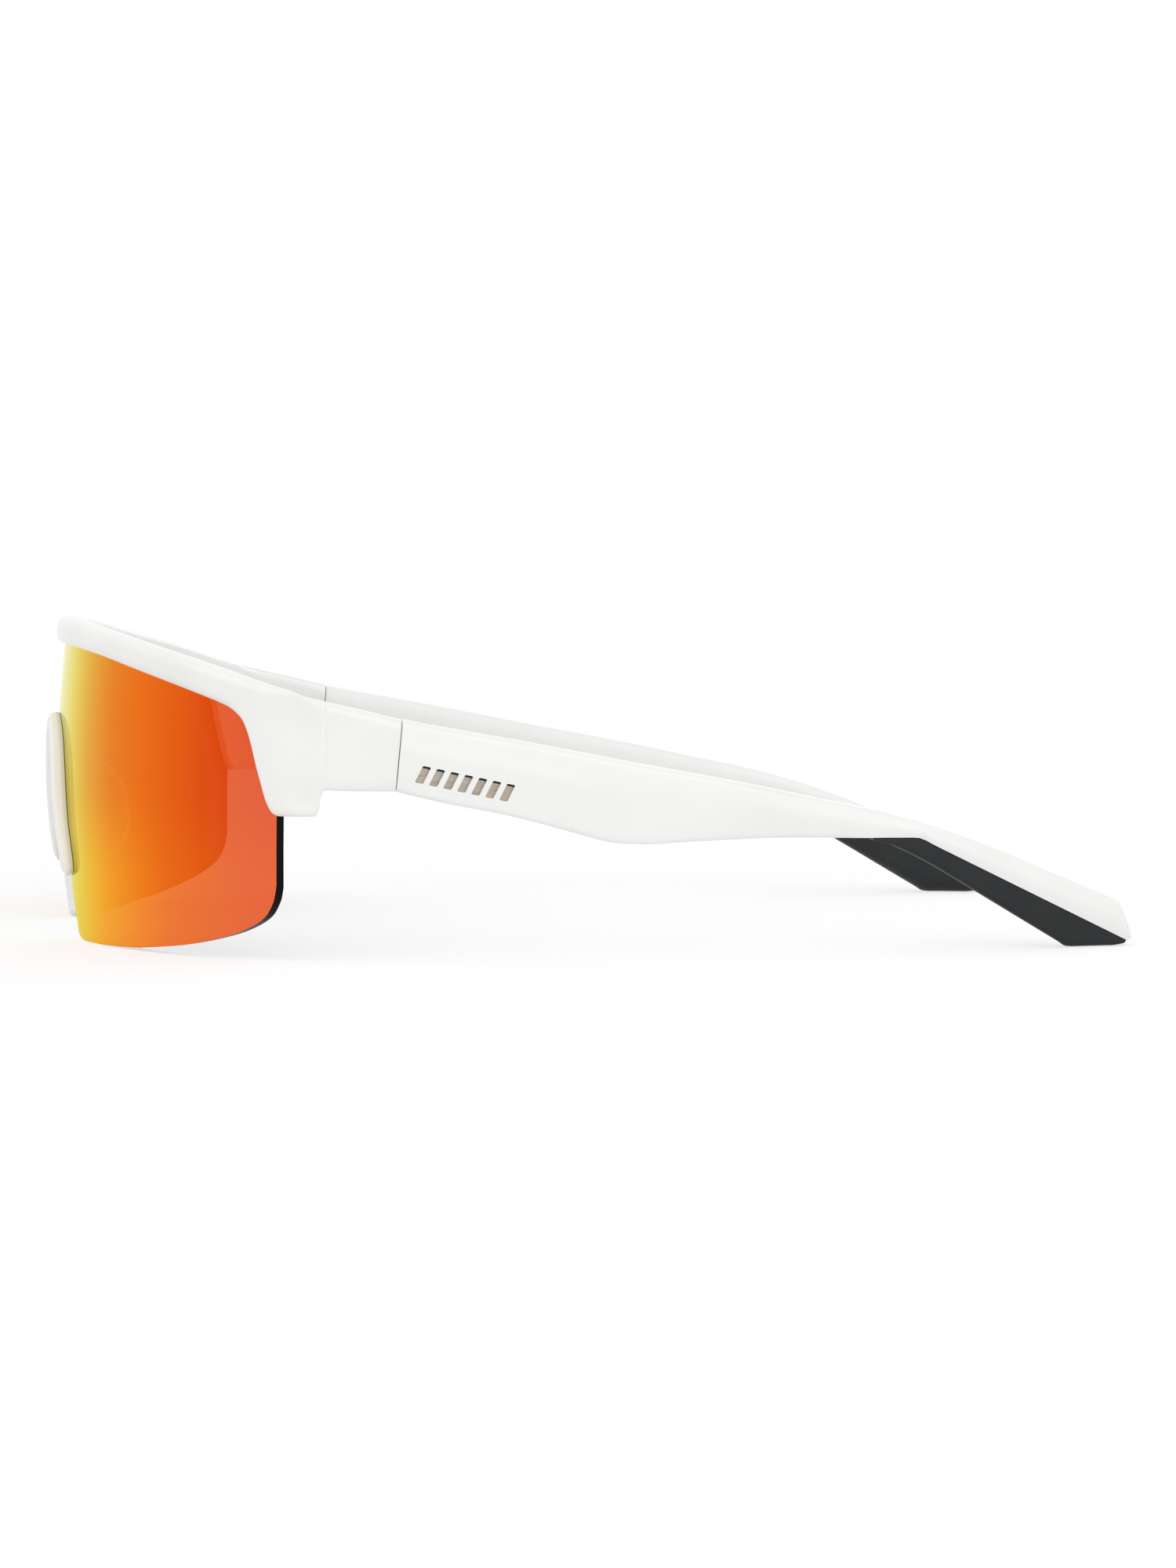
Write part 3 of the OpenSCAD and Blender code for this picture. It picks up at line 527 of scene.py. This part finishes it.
def pad_ring(k):
    """Cross-section of a pad: it starts flat on the back of the channel and flares out. The
    section's points are its width, its share of the pad's depth, and the radius of the corner."""
    w = (k - PAD_FROM) / (PAD_TO - PAD_FROM)
    full = mix(0.35, 1, math.sqrt(max(0, 1 - (2 * w - 1) ** 2)))
    back, depth, foot = -LENS_T - LENS_PLAY - CHANNEL_BACK - BOND, PAD_DEPTH * full, 1.1
    section = [(-1.15, 0, 0.1), (-1.15, 0.2, 0.4), (-0.5, 0.45, 0.6), (0.9, 0.75, 0.8),
               (2.6, 0.96, 0.4), (3.3, 1, 0.3), (3.7, 0.94, 0.3), (3.5, 0.84, 0.4),
               (2.4, 0.55, 0.6), (1.5, 0.25, 0.5), (foot, 0, 0.1)]
    outline = rounded([(n if n < foot else mix(foot, n, full), back - share * depth, r)
                       for n, share, r in section], 3)
    return [nose_at(k, p.x, p.y) for p in outline]


def nose_pad():
    steps = [mix(PAD_FROM, PAD_TO, 0.5 - 0.5 * math.cos(math.pi * i / 40)) for i in range(41)]
    return loft("left_nose_pad_moulding", [pad_ring(k) for k in sorted({round(k) for k in steps})])


# ---- Cuts for the hinges and the inlay -----------------------------------------------------------

BARREL_H = 5.4
LEAF_L, LEAF_SEAT = 8, 0.6
RECESS_PLAY_L, RECESS_PLAY_H = 0.15, 0.3
PIVOT = Vector(HINGE["pos_m"]) / MM
TILT = math.atan(LEAN)
SLOT_N, SLOT_W, SLOT_H, SLOT_SLANT, SLOT_PITCH = 7, 1.3, 2.7, 0.7, 2.2
SLOT_ROUND = 0.2
SLOT_GAP = 0.35                 # ledge above the inlay at the top of each slot, painted black as shade
INLAY_FROM, INLAY_WALL, INLAY_RISE = 0.03, 0.45, 3.5
PAST_INLAY = 0.05               # how far the cuts end behind the inlay's face, or in front of it


def prism(name, outline, low, high, place):
    """Straight prism: an outline in Y and Z from x = low to x = high, in the given place."""
    n = len(outline)
    verts = [place @ Vector((x, y, z)) * MM for x in (low, high) for y, z in outline]
    faces = [tuple(range(n))[::-1], tuple(range(n, 2 * n))]
    faces += [(i, (i + 1) % n, n + (i + 1) % n, n + i) for i in range(n)]
    mesh = bpy.data.meshes.new(name)
    mesh.from_pydata([tuple(v) for v in verts], [], faces)
    return new_object(name, mesh)


def leaf_recess(way, side=1):
    """Tool for the recess of a hinge leaf and the barrel. way is -1 in the front and 1 in an arm."""
    depth = PIVOT.x - (ARM_X - ARM_T + LEAF_SEAT)
    reach, half = LEAF_L + RECESS_PLAY_L, BARREL_H / 2 + RECESS_PLAY_H
    y0, y1 = (-2, reach) if way > 0 else (-reach, 2)
    place = Matrix.Translation(PIVOT) @ Matrix.Rotation(-TILT, 4, "X")
    tool = prism("recess", [(y0, -half), (y1, -half), (y1, half), (y0, half)], -3, -depth, place)
    if side < 0:
        tool.data.transform(Matrix.Scale(-1, 4, (1, 0, 0)))
        tool.data.flip_normals()
    return tool


def inlay_slots():
    """Tools for the row of slanting slots in the left arm's outer face: each slot is cut to the
    inlay, but at its top only to a ledge in front of it, which is painted black as shade."""
    end = INLAY_FROM + (SLOT_N - 1) * SLOT_PITCH / ARM_L
    a, b = (Vector((arm_out(t), arm_y(t), arm_lo(t) + INLAY_RISE)) for t in (INLAY_FROM, end))
    d = b - a
    place = (Matrix.Translation(a) @ Matrix.Rotation(-math.atan2(d.x, d.y), 4, "Z")
             @ Matrix.Rotation(math.atan2(d.z, d.y), 4, "X"))

    def tool(k, low, high, depth):
        w, lean = SLOT_W / 2, SLOT_SLANT / SLOT_H
        corners = ((-w, low), (w, low), (w, high), (-w, high))
        outline = rounded([(y + z * lean, z, SLOT_ROUND) for y, z in corners], 3)
        return prism("slot", [(p.x + k * SLOT_PITCH, p.y) for p in outline], -depth, 2, place)

    h = SLOT_H / 2
    parts = ((-h, h - SLOT_GAP, INLAY_WALL + PAST_INLAY), (h - 2 * SLOT_GAP, h, INLAY_WALL - PAST_INLAY))
    return [tool(k, *part) for k in range(SLOT_N) for part in parts]


# ---- Materials -----------------------------------------------------------------------------------

def colour(code):
    """Linear RGBA of an sRGB hex code."""
    parts = [int(code[i:i + 2], 16) / 255 for i in (0, 2, 4)]
    return [c / 12.92 if c <= 0.04045 else ((c + 0.055) / 1.055) ** 2.4 for c in parts] + [1]


def per_metre(size_mm):
    """Scale of a pattern whose features are that size."""
    return 1000 / size_mm


def add(tree, kind, inputs=None, **settings):
    """Adds a shader node: its settings, and for each input a value or the socket that feeds it."""
    made = tree.nodes.new("ShaderNode" + kind)
    for name, value in settings.items():
        setattr(made, name, value)
    for key, value in (inputs or {}).items():
        if isinstance(value, bpy.types.NodeSocket):
            tree.links.new(value, made.inputs[key])
        else:
            made.inputs[key].default_value = value
    return made


def new_material(name):
    made = bpy.data.materials.new(name)
    made.use_nodes = True
    made.node_tree.nodes.clear()
    return made, made.node_tree


def finish_with(tree, shader):
    add(tree, "OutputMaterial", {"Surface": shader.outputs[0]})


def ramp(tree, factor, stops, mode="LINEAR"):
    """Colour ramp through (place, hex colour or grey) stops."""
    made = add(tree, "ValToRGB", {"Fac": factor})
    made.color_ramp.interpolation = mode
    bar = made.color_ramp.elements
    while len(bar) < len(stops):
        bar.new(0.5)
    for element, (place, value) in zip(bar, stops):
        element.position = place
        element.color = colour(value) if isinstance(value, str) else (value, value, value, 1)
    return made.outputs["Color"]


def moulded_nylon():
    """Glossy injection-moulded nylon: white, a trace of orange peel, gloss a little uneven."""
    made, tree = new_material("moulded_white_nylon")
    place = add(tree, "TexCoord").outputs["Object"]
    cloud = add(tree, "TexNoise", {"Vector": place, "Scale": per_metre(14), "Detail": 2.0})
    peel = add(tree, "TexNoise", {"Vector": place, "Scale": per_metre(1.6), "Detail": 1.0})
    body = ramp(tree, cloud.outputs["Fac"], [(0.3, "EDEEEB"), (0.7, "F1F1EF")])
    gloss = add(tree, "MapRange", {"Value": cloud.outputs["Fac"], "To Min": 0.16, "To Max": 0.24})
    bump = add(tree, "Bump", {"Height": peel.outputs["Fac"], "Strength": 0.05, "Distance": 0.02 * MM})
    finish_with(tree, add(tree, "BsdfPrincipled", {
        "Base Color": body, "Roughness": gloss.outputs["Result"], "IOR": 1.53,
        "Normal": bump.outputs["Normal"]}))
    return made


def moulded_silicone():
    """Soft white silicone: satin, light soaks in. Painted shade greys the base beside the lens,
    and a painted reflection of the lens's orange light lies as a warm line along its upper edge."""
    made, tree = new_material("moulded_white_silicone")
    place = add(tree, "TexCoord").outputs["Object"]
    split = add(tree, "SeparateXYZ", {"Vector": place})
    back = add(tree, "Math", {0: split.outputs["Y"], 1: -FRONT_Y * MM}, operation="ADD")
    flat = add(tree, "CombineXYZ", {"X": split.outputs["X"], "Y": back.outputs[0]})
    radius = add(tree, "VectorMath", {0: flat.outputs[0]}, operation="LENGTH")
    lean = add(tree, "Math", {0: split.outputs["Z"], 1: -FACE_H * MM}, operation="ADD")
    drop = add(tree, "Math", {0: lean.outputs[0], 1: 2.0}, operation="POWER")
    sag = add(tree, "Math", {0: drop.outputs[0], 1: 0.5 / (FACE_R * MM), 2: radius.outputs["Value"]},
              operation="MULTIPLY_ADD")
    proud = add(tree, "MapRange", {"Value": sag.outputs[0], "From Min": WRAP_R * MM,
                                   "From Max": (WRAP_R + 2) * MM})
    cloud = add(tree, "TexNoise", {"Vector": place, "Scale": per_metre(3), "Detail": 2.0})
    # Painted shade: grey on the base beside the lens. Painted reflection: the warm stop at the rim's
    # edge.
    body = ramp(tree, proud.outputs["Result"],
                [(0.0, "F2F2EF"), (0.05, "DFE0DB"), (0.36, "E2E3DE"), (0.43, "F6E8DC"), (0.5, "F3F3F1")])
    soft = add(tree, "MapRange", {"Value": cloud.outputs["Fac"], "To Min": 0.34, "To Max": 0.46})
    finish_with(tree, add(tree, "BsdfPrincipled", {
        "Base Color": body, "Roughness": soft.outputs["Result"], "IOR": 1.41,
        "Subsurface Weight": 0.25, "Subsurface Radius": (1.0, 0.9, 0.8), "Subsurface Scale": 0.8 * MM}))
    return made


def moulded_rubber():
    """Black thermoplastic rubber from a spark-eroded mould: fine grain, satin, greyed where lit."""
    made, tree = new_material("moulded_black_rubber")
    place = add(tree, "TexCoord").outputs["Object"]
    grain = add(tree, "TexNoise", {"Vector": place, "Scale": per_metre(0.22), "Detail": 3.0})
    cloud = add(tree, "TexNoise", {"Vector": place, "Scale": per_metre(9), "Detail": 3.0})
    body = ramp(tree, cloud.outputs["Fac"], [(0.3, "1C1E20"), (0.7, "242728")])
    soft = add(tree, "MapRange", {"Value": cloud.outputs["Fac"], "To Min": 0.46, "To Max": 0.58})
    bump = add(tree, "Bump", {"Height": grain.outputs["Fac"], "Strength": 0.25, "Distance": 0.04 * MM})
    finish_with(tree, add(tree, "BsdfPrincipled", {
        "Base Color": body, "Roughness": soft.outputs["Result"], "IOR": 1.5,
        "Specular IOR Level": 0.3, "Normal": bump.outputs["Normal"]}))
    return made


def mirror_film():
    """Vacuum-coated mirror on the lens's face. Its colour is painted sheen: the coating's shift of
    colour with the viewing angle, as it looks from the wearer's left side, is painted by place, pale
    gold at the middle, through orange to red at the sides, and brighter with each colour further out
    toward the lower edge. It lets a seventh of the light through, less where it is seen aslant, and
    from behind it looks grey."""
    made, tree = new_material("mirror_film_painted_sheen")
    split = add(tree, "SeparateXYZ", {"Vector": add(tree, "TexCoord").outputs["Object"]})
    across = add(tree, "Math", {0: split.outputs["X"]}, operation="ABSOLUTE")
    ahead = add(tree, "Math", {0: FRONT_Y * MM, 1: split.outputs["Y"]}, operation="SUBTRACT")
    turn = add(tree, "Math", {0: across.outputs[0], 1: ahead.outputs[0]}, operation="ARCTAN2")
    share = add(tree, "MapRange", {"Value": turn.outputs[0], "From Max": math.radians(54)})
    # Painted sheen: colours by place round the face and by height stand for the shift with viewing angle.
    upper = ramp(tree, share.outputs["Result"],
                 [(0.0, "E0D650"), (0.06, "E0D65A"), (0.11, "DFD262"), (0.17, "E2CD44"),
                  (0.22, "E0C100"), (0.33, "E19A00"), (0.44, "EB7B00"), (0.56, "F56F00"),
                  (0.67, "F16200"), (0.78, "ED500A"), (0.89, "EB4614"), (1.0, "E84018")])
    lower = ramp(tree, share.outputs["Result"],
                 [(0.22, "E6D668"), (0.28, "E5C81C"), (0.33, "E9BA00"), (0.44, "F69E00"),
                  (0.56, "FA8400"), (0.67, "F66C06"), (0.78, "F25F0A"), (0.89, "F0541E"),
                  (1.0, "EF4D1E")])
    height = add(tree, "MapRange", {"Value": split.outputs["Z"], "From Min": 9 * MM, "From Max": 27 * MM},
                 interpolation_type="SMOOTHSTEP")
    tint = add(tree, "Mix", {0: height.outputs["Result"], 6: lower, 7: upper}, data_type="RGBA")
    slant = add(tree, "Fresnel", {"IOR": 1.585})
    solid = add(tree, "MapRange", {"Value": slant.outputs[0], "From Min": 0.06, "From Max": 0.16,
                                   "To Min": 0.86, "To Max": 1.0})
    film = add(tree, "BsdfPrincipled", {
        "Base Color": tint.outputs[2], "Metallic": 1.0, "Roughness": 0.05,
        "Specular Tint": (1, 1, 0.75, 1), "Alpha": solid.outputs["Result"]})
    behind = add(tree, "BsdfTransparent", {"Color": colour("6E6889")})
    inside = add(tree, "NewGeometry").outputs["Backfacing"]
    finish_with(tree, add(tree, "MixShader", {0: inside, 1: film.outputs[0], 2: behind.outputs[0]}))
    return made


def smoke_polycarbonate():
    """Inner face of the lens: polished polycarbonate with a smoke tint, clear enough to see by."""
    made, tree = new_material("polished_smoke_polycarbonate")
    clear = add(tree, "BsdfTransparent", {"Color": (0.48, 0.54, 0.30, 1)})
    gloss = add(tree, "BsdfGlossy", {"Color": (1, 1, 1, 1), "Roughness": 0.05})
    shine = add(tree, "Fresnel", {"IOR": 1.585})
    inside = add(tree, "NewGeometry").outputs["Backfacing"]
    outside = add(tree, "Math", {0: 1.0, 1: inside}, operation="SUBTRACT")
    share = add(tree, "Math", {0: shine.outputs[0], 1: outside.outputs[0]}, operation="MULTIPLY")
    finish_with(tree, add(tree, "MixShader", {0: share.outputs[0], 1: clear.outputs[0],
                                              2: gloss.outputs[0]}))
    return made


def cut_edge(name, tone, shine):
    """Routed edge of the polycarbonate, with a dull polish and fine cutter marks."""
    made, tree = new_material(name)
    grain = add(tree, "TexNoise", {"Vector": add(tree, "TexCoord").outputs["Object"],
                                   "Scale": per_metre(0.5), "Detail": 2.0})
    dull = add(tree, "MapRange", {"Value": grain.outputs["Fac"], "To Min": 0.22, "To Max": 0.36})
    finish_with(tree, add(tree, "BsdfPrincipled", {
        "Base Color": colour(tone), "Roughness": dull.outputs["Result"], "IOR": 1.585,
        "Specular IOR Level": shine}))
    return made


def turned_steel():
    """Stainless steel from a lathe and a press: grey, bright, with fine lines."""
    made, tree = new_material("turned_stainless_steel")
    place = add(tree, "TexCoord").outputs["Object"]
    long = add(tree, "Mapping", {"Vector": place, "Scale": (1, 1, 14)})
    lines = add(tree, "TexNoise", {"Vector": long.outputs[0], "Scale": per_metre(1.2), "Detail": 3.0})
    tone = ramp(tree, lines.outputs["Fac"], [(0.3, "B4B3B0"), (0.7, "C9C8C5")])
    dull = add(tree, "MapRange", {"Value": lines.outputs["Fac"], "To Min": 0.22, "To Max": 0.36})
    finish_with(tree, add(tree, "BsdfPrincipled", {
        "Base Color": tone, "Metallic": 1.0, "Roughness": dull.outputs["Result"]}))
    return made


def satin_aluminium():
    """Anodised aluminium strip, brushed along its length, taupe."""
    made, tree = new_material("brushed_taupe_aluminium")
    place = add(tree, "TexCoord").outputs["Object"]
    long = add(tree, "Mapping", {"Vector": place, "Scale": (1, 0.06, 1)})
    lines = add(tree, "TexNoise", {"Vector": long.outputs[0], "Scale": per_metre(0.12), "Detail": 2.0})
    tone = ramp(tree, lines.outputs["Fac"], [(0.35, "A1968A"), (0.65, "B7ADA1")])
    dull = add(tree, "MapRange", {"Value": lines.outputs["Fac"], "To Min": 0.3, "To Max": 0.42})
    finish_with(tree, add(tree, "BsdfPrincipled", {
        "Base Color": tone, "Metallic": 1.0, "Roughness": dull.outputs["Result"]}))
    return made


def set_finish(piece, *finishes):
    piece.data.materials.clear()
    for finish in finishes:
        piece.data.materials.append(finish)


# ---- Pieces --------------------------------------------------------------------------------------

WHITE, SILICONE, RUBBER = moulded_nylon(), moulded_silicone(), moulded_rubber()
STEEL, TAUPE = turned_steel(), satin_aluminium()


def seat(piece, node, finish, body):
    """Finishes a moulding and puts it in the place of its solid."""
    shade(piece.data)
    set_finish(piece, finish)
    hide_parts(node)
    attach(piece, body)


def paint_slot_shade(piece):
    """Painted shade: the floors of the slots go black, of which only the ledge at the top shows."""
    piece.data.materials.append(RUBBER)
    for face in piece.data.polygons:
        p = face.center / MM
        t = clamp((p.y - arm_y(0)) / (arm_y(1) - arm_y(0)))
        depth = arm_out(t) - abs(p.x)
        if INLAY_WALL - 0.15 < depth < INLAY_WALL + 0.15 and abs(face.normal.x) > 0.9:
            face.material_index = 1


brow = front_frame()
cut(brow, [leaf_recess(-1, side) for side in (1, -1)])
seat(brow, "front_frame", WHITE, "front")
seat(nose_bridge(), "nose_bridge", SILICONE, "front")

pad = nose_pad()
arm = temple()
cut(arm, [leaf_recess(1)] + inlay_slots())
grip = temple_grip()
for left, node, slot, finish, body in (
        (pad, "nose_pad", "nose_white", SILICONE, "front"),
        (arm, "temple", "frame_white", WHITE, "arm"),
        (grip, "temple_grip", "grip_black", RUBBER, "arm")):
    right = mirrored(left, left.name.replace("left", "right"))
    for piece, side in ((left, "left"), (right, "right")):
        seat(piece, f"{side}_{node}", finish, "front" if body == "front" else f"{side}_arm")
        if node == "temple":
            # painted shade on the ledge at the top of each slot
            paint_slot_shade(piece)


def smooth_solid(node, *finishes):
    """Finish and smooth shading for a solid that shows as it is."""
    piece = NODES[node]
    set_finish(piece, *finishes)
    piece.data.polygons.foreach_set("use_smooth", [True] * len(piece.data.polygons))
    weld = piece.modifiers.new("weld", "WELD")
    weld.merge_threshold = 0.002 * MM
    split = piece.modifiers.new("edges", "EDGE_SPLIT")
    split.split_angle = math.radians(30)
    return piece


# The lens's edge is inked black at the sides and along the bottom, and left bare in the nose arch
# and at the two corners below it. The bare edge is painted near-white: a painted glow for light
# carried through the clear edge, which lifts it out of shade.
lens = smooth_solid("shield_lens", mirror_film(), smoke_polycarbonate(),
                    cut_edge("inked_polycarbonate_edge", "050506", 0.02),
                    cut_edge("bare_edge_painted_glow", "FBFBF9", 0.5))
MIRROR, INNER, INKED, BARE = range(4)
FACE_ON = 0.7                   # share of a face's normal that points straight out of the lens
BARE_X, BARE_Z = NOSE_EDGE[-1][0] + 6, NOSE_EDGE[0][1] + 1    # 6 mm past the arch's corners
for face in lens.data.polygons:
    centre = face.center / MM
    out = Vector((centre.x, centre.y - FRONT_Y, 0)).normalized().dot(face.normal)
    edge = BARE if abs(centre.x) < BARE_X and centre.z < BARE_Z else INKED
    face.material_index = MIRROR if out > FACE_ON else INNER if out < -FACE_ON else edge
for side in ("left", "right"):
    smooth_solid(f"{side}_temple_inlay", TAUPE)
    for part in ("front_leaf", "front_leaf_screws", "hinge_screw", "temple_leaf", "temple_leaf_screws"):
        smooth_solid(f"{side}_{part}", STEEL)


# ---- Studio --------------------------------------------------------------------------------------

def softbox(name, place, size, radiance):
    """Square soft light at a place, turned to the middle of the glasses."""
    lamp = bpy.data.lights.new(name, "AREA")
    lamp.shape = "SQUARE"
    lamp.size = size
    lamp.energy = radiance * math.pi * size ** 2
    made = bpy.data.objects.new(name, lamp)
    made.location = place
    made.rotation_euler = (MIDDLE - Vector(place)).to_track_quat("-Z", "Y").to_euler()
    bpy.context.scene.collection.objects.link(made)


def seen(tree):
    """1 for rays that show the background: from the camera, in gloss and through glass."""
    rays = add(tree, "LightPath").outputs
    first = add(tree, "Math", {0: rays["Is Camera Ray"], 1: rays["Is Glossy Ray"]}, operation="MAXIMUM")
    both = add(tree, "Math", {0: first.outputs[0], 1: rays["Is Transmission Ray"]}, operation="MAXIMUM")
    return both.outputs[0]


def studio_world(ambient):
    world = bpy.data.worlds.new("studio")
    bpy.context.scene.world = world
    world.use_nodes = True
    tree = world.node_tree
    tree.nodes.clear()
    strength = add(tree, "MapRange", {"Value": seen(tree), "To Min": ambient, "To Max": 1.0})
    sky = add(tree, "Background", {"Color": (1, 1, 1, 1), "Strength": strength.outputs["Result"]})
    add(tree, "OutputWorld", {"Surface": sky.outputs[0]})


def floor_paint():
    """Matt white floor that keeps the shadow close to the glasses and fades into the background."""
    made, tree = new_material("matt_white_floor")
    place = add(tree, "TexCoord").outputs["Object"]
    far = add(tree, "VectorMath", {0: place}, operation="LENGTH")
    fade = add(tree, "MapRange", {"Value": far.outputs["Value"], "From Min": 0.07, "From Max": 0.26})
    matt = add(tree, "BsdfDiffuse", {"Color": (0.4, 0.4, 0.4, 1)})
    lift = add(tree, "Emission", {"Color": (1, 1, 1, 1), "Strength": 0.6})
    plain = add(tree, "Emission", {"Color": (1, 1, 1, 1), "Strength": 1.0})
    near = add(tree, "AddShader", {0: matt.outputs[0], 1: lift.outputs[0]})
    wide = add(tree, "MixShader", {0: fade.outputs["Result"], 1: near.outputs[0], 2: plain.outputs[0]})
    bounce = add(tree, "BsdfDiffuse", {"Color": (0.9, 0.9, 0.9, 1)})
    shown = add(tree, "MixShader", {0: seen(tree), 1: bounce.outputs[0], 2: wide.outputs[0]})
    finish_with(tree, shown)
    return made


FLOOR_REACH = 3.0
floor_mesh = bpy.data.meshes.new("floor")
corners = ((-1, -1), (1, -1), (1, 1), (-1, 1))
floor_mesh.from_pydata([(FLOOR_REACH * x, FLOOR_REACH * y, 0) for x, y in corners], [], [(0, 1, 2, 3)])
floor = new_object("floor", floor_mesh)
floor.location = (MIDDLE.x, MIDDLE.y, cad_box[0].z - 0.02 * MM)
set_finish(floor, floor_paint())

studio_world(0.82)
softbox("top_box", (0.2, -0.4, 0.65), 0.8, 0.45)
softbox("side_box", (0.82, 0.28, 0.45), 0.7, 1.0)
softbox("back_box", (-0.7, 0.5, 0.5), 0.6, 0.6)

AZIMUTH, ELEVATION, DISTANCE = math.radians(81.96), math.radians(3.4), 0.835
AIM = Vector((0, 5.48, 22.8)) * MM
FOCAL_LENGTH, SENSOR = 116.2, 36
camera = bpy.data.objects.new("camera", bpy.data.cameras.new("camera"))
bpy.context.scene.collection.objects.link(camera)
away = Vector((math.sin(AZIMUTH) * math.cos(ELEVATION), -math.cos(AZIMUTH) * math.cos(ELEVATION),
               math.sin(ELEVATION)))
camera.location = AIM + away * DISTANCE
camera.rotation_euler = away.to_track_quat("Z", "Y").to_euler()
camera.data.lens = FOCAL_LENGTH
camera.data.sensor_width = SENSOR
bpy.context.scene.camera = camera
bpy.context.scene.view_settings.view_transform = "Standard"
